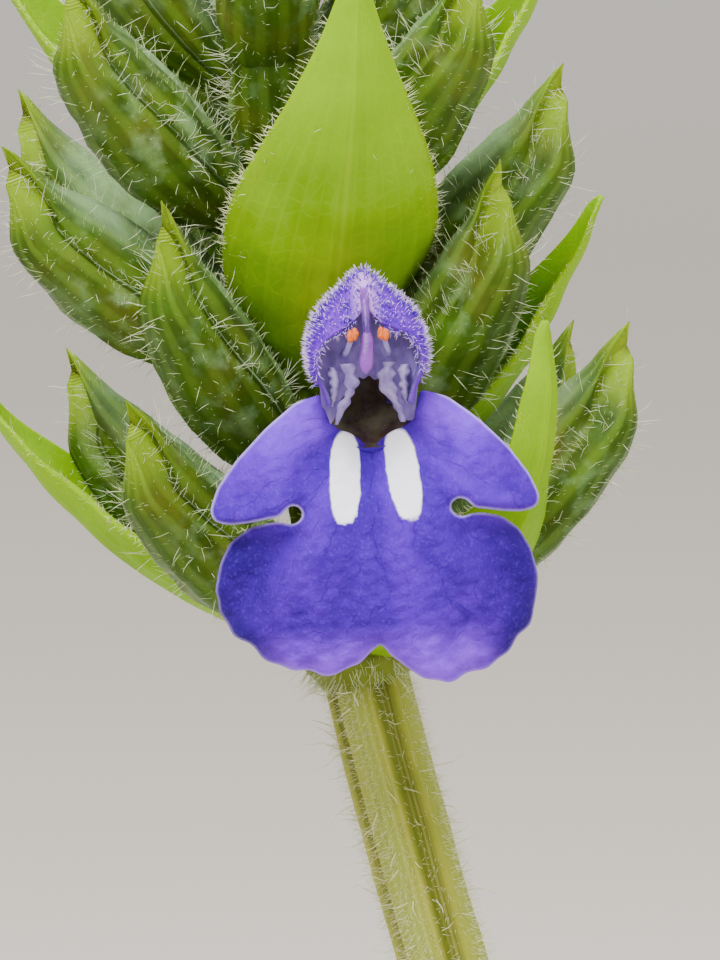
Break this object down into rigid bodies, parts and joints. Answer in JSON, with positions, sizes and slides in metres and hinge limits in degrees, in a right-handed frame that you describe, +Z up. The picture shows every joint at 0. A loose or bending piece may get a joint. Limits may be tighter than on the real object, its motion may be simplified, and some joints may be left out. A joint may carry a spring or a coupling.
{
  "type": "potted chia plant",
  "caption": "Small potted chia herb in flower: upright stem with toothed leaf pairs, dense spikes of hairy calyces and yellow-green bracts, and violet two-lipped flowers.",
  "frame": {"origin": "centre of the pot's underside, on the surface it stands on", "axes": "+Z up; the open flower of the main spike faces -Y; +X to the flower's left, which is the viewer's right"},
  "size_m": [0.096, 0.096, 0.2417],
  "materials": {
    "clay": "matte unglazed terracotta",
    "soil": "crumbly moist potting soil",
    "stem": "pale green, softly hairy",
    "leaf": "matte mid green with paler veins",
    "calyx": "green with a dense coat of pale hairs",
    "bract": "bright yellow-green, finely hairy",
    "petal": "velvety violet-blue with two white patches",
    "style": "satin pink-violet",
    "anther": "powdery orange"
  },
  "bodies": {
    "root": {"pot": "clay", "soil": "soil", "stem": "stem", "side_shoot_1": "calyx", "corolla_side_1": "petal", "side_shoot_2": "calyx", "corolla_side_2": "petal", "side_shoot_3": "calyx", "side_shoot_4": "calyx", "leaf_1a": "leaf", "leaf_1b": "leaf", "leaf_2a": "leaf", "leaf_2b": "leaf", "leaf_3a": "leaf", "leaf_3b": "leaf", "leaf_4a": "leaf", "leaf_4b": "leaf", "leaf_5a": "leaf", "leaf_5b": "leaf", "spike": "calyx", "bract_front_right": "bract", "bract_left": "bract", "bract_low_back": "bract", "bract_right": "bract", "bract_front": "bract", "bract_high_back": "bract", "bract_upper_left": "bract", "bract_upper_right": "bract", "corolla_front": "petal", "style": "style", "stamen_left": "anther", "stamen_right": "anther"}
  },
  "joints": []
}
